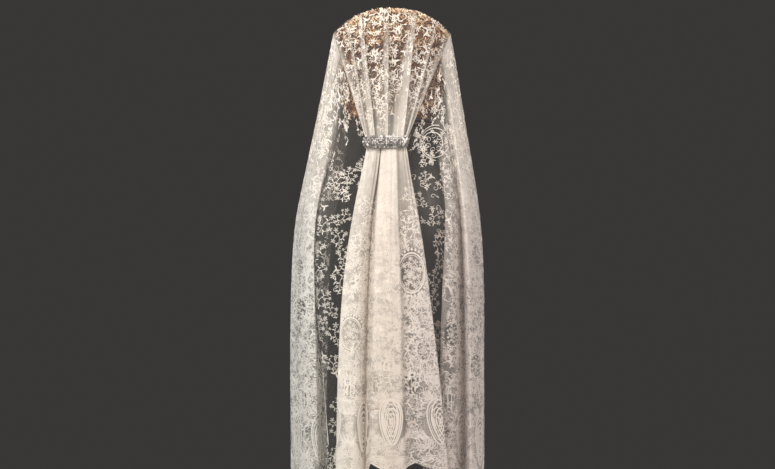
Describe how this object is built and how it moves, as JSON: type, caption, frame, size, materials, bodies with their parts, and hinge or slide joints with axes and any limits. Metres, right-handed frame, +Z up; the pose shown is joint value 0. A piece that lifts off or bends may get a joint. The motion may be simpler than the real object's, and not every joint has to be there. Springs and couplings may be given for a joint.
{
  "type": "lace mantilla on a high comb",
  "caption": "Ivory floral lace mantilla worn over a tall openwork tortoiseshell comb, gathered at the nape by a jewelled clasp into a pleated tail with a scalloped hem.",
  "frame": {"origin": "where the teeth of the comb enter the hair, in the middle of the comb", "axes": "+Z up from the comb's seat to its crest; the wearer faces +Y, so the back of the mantilla faces -Y; +X is to the right seen from behind"},
  "size_m": [0.46, 0.2869, 1.1353],
  "materials": {
    "lace": "ivory floral lace on sheer net",
    "tortoiseshell": "polished amber and brown tortoiseshell resin",
    "rhinestone": "silver set with small clear stones"
  },
  "bodies": {
    "root": {"lace_crown": "lace", "lace_fan": "lace", "lace_tail": "lace", "lace_side_left": "lace", "lace_side_right": "lace", "lace_front_left": "lace", "lace_front_right": "lace", "high_comb": "tortoiseshell", "clasp_bar_left": "rhinestone", "clasp_bar_right": "rhinestone", "clasp_end_left": "rhinestone", "clasp_end_right": "rhinestone"}
  },
  "joints": []
}
